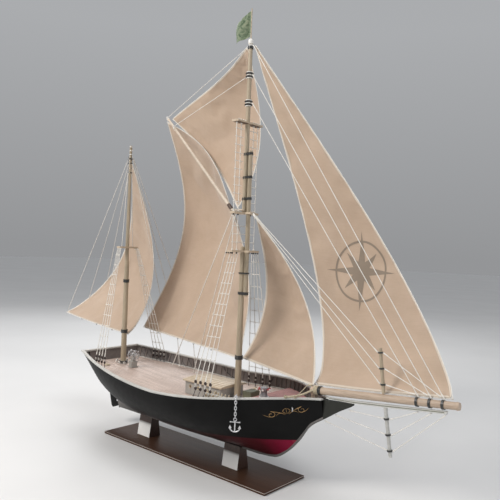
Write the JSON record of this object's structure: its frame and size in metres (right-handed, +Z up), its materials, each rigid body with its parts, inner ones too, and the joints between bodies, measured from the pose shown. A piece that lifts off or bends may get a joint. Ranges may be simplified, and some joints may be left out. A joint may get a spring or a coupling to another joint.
{
  "type": "model sailing ship",
  "caption": "Display model of a two-masted gaff-rigged sailing ship with curved cloth sails and full rigging, standing in cradles on a dark board.",
  "frame": {"origin": "centre of the stand board's underside", "axes": "+X to the bow, +Y to port, +Z up"},
  "size_m": [0.8414, 0.2403, 0.6888],
  "materials": {
    "board_wood": "dark brown gloss varnish",
    "cradle_white": "white paint",
    "keel_grey": "grey paint, worn",
    "bottom_red": "crimson paint, satin",
    "hull_dark": "near-black paint, satin",
    "silver_metal": "cast, unpolished",
    "deck_planks": "pale planks with dark seams",
    "foredeck_red": "faded red stain",
    "rail_white": "off-white paint",
    "rib_wood": "brown-grey stain",
    "house_grey": "grey paint",
    "roof_tan": "tan paint",
    "hatch_olive": "olive paint",
    "drum_grey": "grey",
    "bar_red": "red",
    "spar_tan": "varnished pale wood",
    "band_black": "black",
    "flag_green": "pale green printed cloth",
    "sailcloth": "tan cotton with pale hems",
    "cord": "off-white twisted cotton"
  },
  "bodies": {
    "ship": {"stand_board": "board_wood", "cradle_aft": "cradle_white", "cradle_fore": "cradle_white", "keel_and_stem": "keel_grey", "hull_bottom": "bottom_red", "hull_topsides": "hull_dark", "beak_knee": "hull_dark", "sternpost": "keel_grey", "hawse_rings": "silver_metal", "deck": "deck_planks", "foredeck": "foredeck_red", "bulwark_starboard": "hull_dark", "bulwark_port": "hull_dark", "transom": "hull_dark", "cap_rail_starboard": "rail_white", "cap_rail_port": "rail_white", "taffrail": "rail_white", "bulwark_ribs": "rib_wood", "deckhouse": "house_grey", "deckhouse_roof": "roof_tan", "companion_hatch": "hatch_olive", "pin_rail": "rail_white", "wheel_pedestal": "house_grey", "rudder_gudgeons": "silver_metal", "capstan_spindle": "silver_metal", "chain_eyebolt": "silver_metal", "main_lower_mast": "spar_tan", "main_topmast": "spar_tan", "main_topgallant_mast": "spar_tan", "main_tops": "spar_tan", "main_bands": "band_black", "flagstaff": "spar_tan", "flag": "flag_green", "mizzen_lower_mast": "spar_tan", "mizzen_topmast": "spar_tan", "mizzen_top": "spar_tan", "mizzen_bands": "band_black", "gaff": "spar_tan", "bowsprit": "spar_tan", "under_spar": "rail_white", "dolphin_striker": "rail_white", "sprit_strut": "spar_tan", "spar_bands": "band_black", "mizzen_sail": "sailcloth", "main_sail": "sailcloth", "topsail": "sailcloth", "staysail": "sailcloth", "jib": "sailcloth", "main_shrouds": "cord", "topmast_shrouds": "cord", "mizzen_shrouds": "cord", "deadeyes": "hull_dark", "stays": "cord", "running_rigging": "cord"},
    "steering": {"steering_wheels": "silver_metal"},
    "capstan": {"capstan": "drum_grey", "capstan_bars": "bar_red"},
    "rudder": {"rudder": "hull_dark"},
    "anchor_chain": {"anchor_chain": "silver_metal"},
    "anchor": {"anchor": "silver_metal"}
  },
  "joints": [
    {"name": "wheel_spin", "type": "hinge", "parent": "ship", "child": "steering", "pos_m": [-0.166, 0, 0.133], "axis": [1, 0, 0], "continuous": true},
    {"name": "capstan_turn", "type": "hinge", "parent": "ship", "child": "capstan", "pos_m": [0.136, 0, 0.12], "axis": [0, 0, 1], "continuous": true},
    {"name": "rudder_turn", "type": "hinge", "parent": "ship", "child": "rudder", "pos_m": [-0.2013, 0, 0.03193], "axis": [-0.3387, 0, 0.9409], "range_deg": [-35, 35]},
    {"name": "chain_swing", "type": "hinge", "parent": "ship", "child": "anchor_chain", "pos_m": [0.1524, -0.07846, 0.1303], "axis": [-0.8387, -0.5446, 0], "range_deg": [0, 50]},
    {"name": "anchor_shackle", "type": "hinge", "parent": "anchor_chain", "child": "anchor", "pos_m": [0.1524, -0.07846, 0.10363], "axis": [-0.5446, 0.8387, 0], "range_deg": [-60, 60]}
  ]
}
